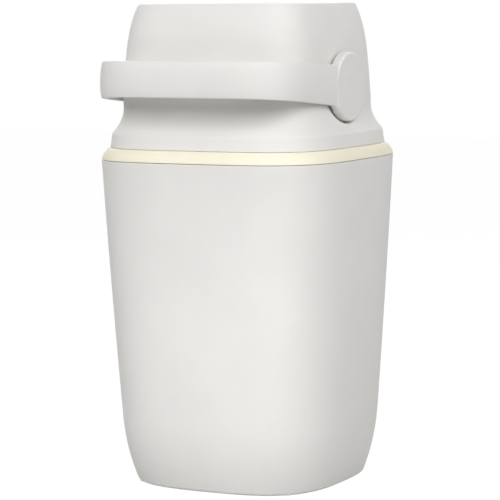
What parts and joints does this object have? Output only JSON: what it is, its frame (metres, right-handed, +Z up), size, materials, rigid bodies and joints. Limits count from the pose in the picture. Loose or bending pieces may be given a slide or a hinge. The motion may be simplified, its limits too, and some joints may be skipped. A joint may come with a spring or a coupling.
{
  "type": "nappy bin",
  "caption": "Nappy bin with a tapered bucket, a cream bag collar and a hinged head whose bail handle tips a cup with a sliding weighted piston.",
  "frame": {"origin": "middle of the bucket's base, on the surface it stands on", "axes": "+Z up, -Y towards the front, where the handle rests, +X towards the right side seen from the front"},
  "size_m": [0.29, 0.3109, 0.5401],
  "materials": {
    "shell_plastic": "fine satin moulded off-white plastic",
    "collar_plastic": "satin cream plastic",
    "inner_plastic": "satin off-white plastic of the inner pieces",
    "piston_plastic": "satin off-white plastic of the piston",
    "bearing_plastic": "natural acetal",
    "seal_foam": "closed cell foam",
    "wiper_rubber": "soft rubber",
    "steel": "zinc plated steel"
  },
  "bodies": {
    "bucket": {"bucket_shell": "shell_plastic"},
    "collar": {"collar_ring": "collar_plastic", "hinge_pin": "steel"},
    "head": {"head_housing": "shell_plastic", "inlet_ring": "inner_plastic", "inlet_screw_1": "steel", "inlet_screw_2": "steel", "inlet_screw_3": "steel", "inlet_screw_4": "steel", "upper_seal": "seal_foam", "outlet_plate": "inner_plastic", "outlet_screw_1": "steel", "outlet_screw_2": "steel", "outlet_screw_3": "steel", "outlet_screw_4": "steel", "lower_seal": "seal_foam", "head_gasket": "seal_foam", "bearing_bush_right": "bearing_plastic", "bearing_bush_left": "bearing_plastic"},
    "rotor": {"rotor_half_right": "inner_plastic", "rotor_half_left": "inner_plastic", "rotor_screw_1": "steel", "rotor_screw_2": "steel", "rotor_screw_3": "steel", "rotor_screw_4": "steel", "handle": "shell_plastic"},
    "piston": {"piston_upper_shell": "piston_plastic", "piston_lower_shell": "piston_plastic", "piston_weight": "steel", "piston_wiper": "wiper_rubber", "piston_screw_1": "steel", "piston_screw_2": "steel", "piston_screw_3": "steel"}
  },
  "joints": [
    {"name": "collar_lift", "type": "slide", "parent": "bucket", "child": "collar", "axis": [0, 0, 1], "range_m": [0, 0.08]},
    {"name": "head_tilt", "type": "hinge", "parent": "collar", "child": "head", "pos_m": [0, 0.1415, 0.3861], "axis": [-1, 0, 0], "range_deg": [0, 100]},
    {"name": "handle_swing", "type": "hinge", "parent": "head", "child": "rotor", "pos_m": [0, 0, 0.44712], "axis": [-1, 0, 0], "range_deg": [0, 171.3]},
    {"name": "piston_drop", "type": "slide", "parent": "rotor", "child": "piston", "axis": [0, 0.0758, 0.9971], "range_m": [0, 0.0794]}
  ]
}
